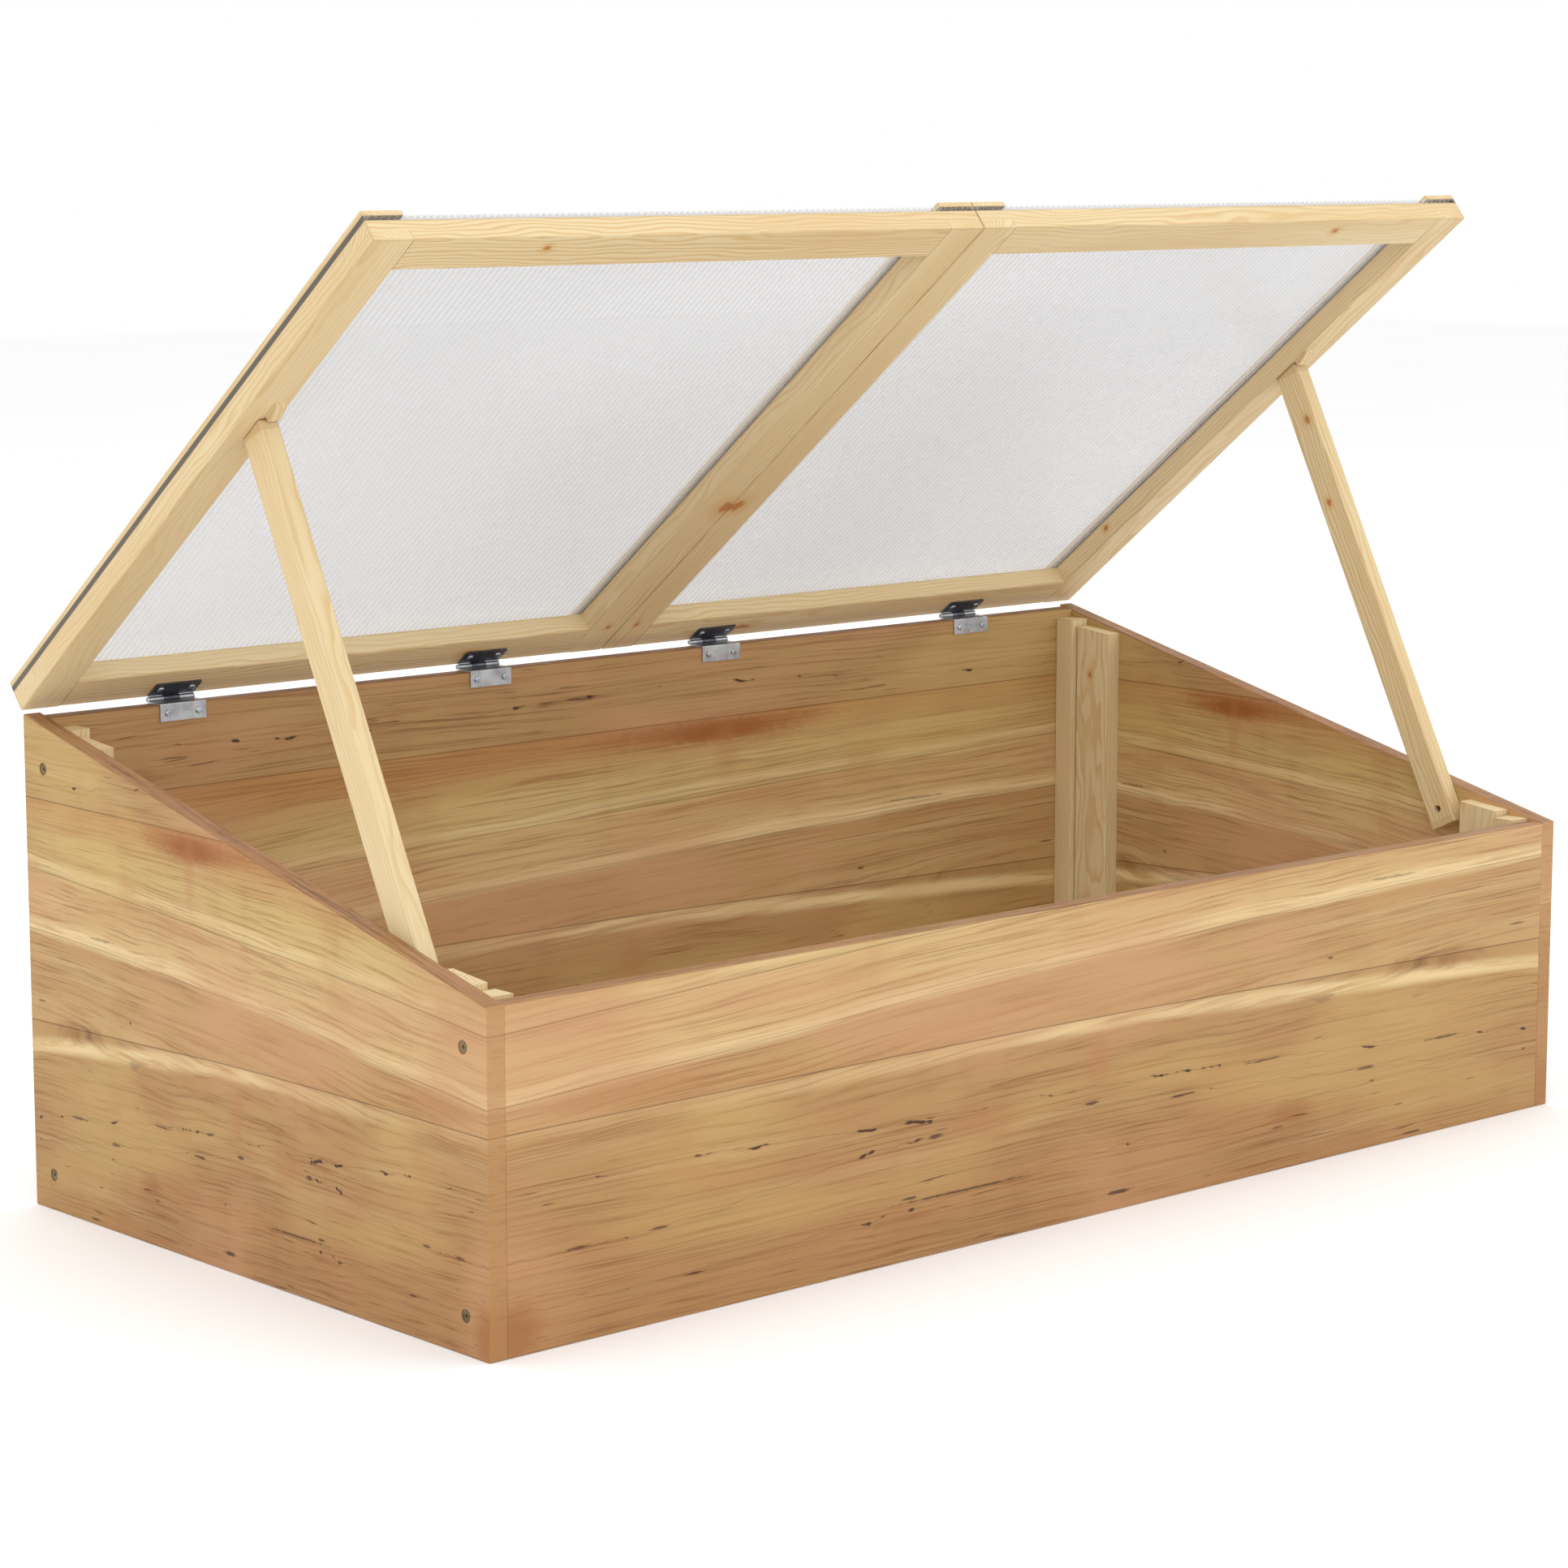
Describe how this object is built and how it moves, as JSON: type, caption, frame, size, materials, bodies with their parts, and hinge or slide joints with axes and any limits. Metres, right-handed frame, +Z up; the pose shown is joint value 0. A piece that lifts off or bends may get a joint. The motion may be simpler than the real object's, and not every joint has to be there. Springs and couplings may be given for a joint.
{
  "type": "cold frame",
  "caption": "Low wooden cold frame with a sloping top, open to the soil below, and hinged twin-wall lids held open by wooden prop bars.",
  "frame": {"origin": "on the ground, in the middle of the ground covered by the frame with its lids propped; x = 0 is the seam between the lids", "axes": "+X along the box from the left lid to the right lid, +Y from the low front panel to the hinges at the back, +Z up"},
  "size_m": [1.1, 0.5675, 0.7402],
  "materials": {
    "box_wood": "oiled hardwood boards glued edge to edge, satin",
    "frame_wood": "planed pale softwood, unpainted",
    "twin_wall_sheet": "clear-opal twin-wall polycarbonate with fine flutes",
    "hinge_steel": "galvanised pressed steel",
    "screw_zinc": "zinc plated"
  },
  "bodies": {
    "box": {"back_left_cleat": "frame_wood", "back_left_post": "frame_wood", "back_panel": "box_wood", "back_right_cleat": "frame_wood", "back_right_post": "frame_wood", "box_leaf_screws": "screw_zinc", "front_left_cleat": "frame_wood", "front_left_post": "frame_wood", "front_panel": "box_wood", "front_right_cleat": "frame_wood", "front_right_post": "frame_wood", "left_hinge_1_box_leaf": "hinge_steel", "left_hinge_1_pin": "hinge_steel", "left_hinge_2_box_leaf": "hinge_steel", "left_hinge_2_pin": "hinge_steel", "left_prop_screw": "screw_zinc", "left_side_panel": "box_wood", "left_side_screws": "screw_zinc", "right_hinge_1_box_leaf": "hinge_steel", "right_hinge_1_pin": "hinge_steel", "right_hinge_2_box_leaf": "hinge_steel", "right_hinge_2_pin": "hinge_steel", "right_prop_screw": "screw_zinc", "right_side_panel": "box_wood", "right_side_screws": "screw_zinc"},
    "left_lid": {"left_hinge_1_lid_leaf": "hinge_steel", "left_hinge_2_lid_leaf": "hinge_steel", "left_lid_batten_screws": "screw_zinc", "left_lid_front_rail": "frame_wood", "left_lid_inner_batten": "frame_wood", "left_lid_inner_stile": "frame_wood", "left_lid_leaf_screws": "screw_zinc", "left_lid_outer_batten": "frame_wood", "left_lid_outer_stile": "frame_wood", "left_lid_rear_rail": "frame_wood", "left_lid_sheet": "twin_wall_sheet", "left_lid_stop_block": "frame_wood"},
    "right_lid": {"right_hinge_1_lid_leaf": "hinge_steel", "right_hinge_2_lid_leaf": "hinge_steel", "right_lid_batten_screws": "screw_zinc", "right_lid_front_rail": "frame_wood", "right_lid_inner_batten": "frame_wood", "right_lid_inner_stile": "frame_wood", "right_lid_leaf_screws": "screw_zinc", "right_lid_outer_batten": "frame_wood", "right_lid_outer_stile": "frame_wood", "right_lid_rear_rail": "frame_wood", "right_lid_sheet": "twin_wall_sheet", "right_lid_stop_block": "frame_wood"},
    "left_prop": {"left_prop": "frame_wood"},
    "right_prop": {"right_prop": "frame_wood"}
  },
  "joints": [
    {"name": "left_lid_hinge", "type": "hinge", "parent": "box", "child": "left_lid", "pos_m": [-0.27525, 0.26724, 0.36955], "axis": [-1, 0, 0], "range_deg": [0, 140]},
    {"name": "left_prop_pivot", "type": "hinge", "parent": "box", "child": "left_prop", "pos_m": [-0.52745, -0.18696, 0.23746], "axis": [-1, 0, 0], "range_deg": [0, 45]},
    {"name": "right_lid_hinge", "type": "hinge", "parent": "box", "child": "right_lid", "pos_m": [0.27525, 0.26724, 0.36955], "axis": [-1, 0, 0], "range_deg": [0, 140]},
    {"name": "right_prop_pivot", "type": "hinge", "parent": "box", "child": "right_prop", "pos_m": [0.52745, -0.18696, 0.23746], "axis": [-1, 0, 0], "range_deg": [0, 45]}
  ],
  "couplings": [
    {"joint": "left_prop_pivot", "follows": "left_lid_hinge", "ratio": 0.3214},
    {"joint": "right_prop_pivot", "follows": "right_lid_hinge", "ratio": 0.3214}
  ]
}
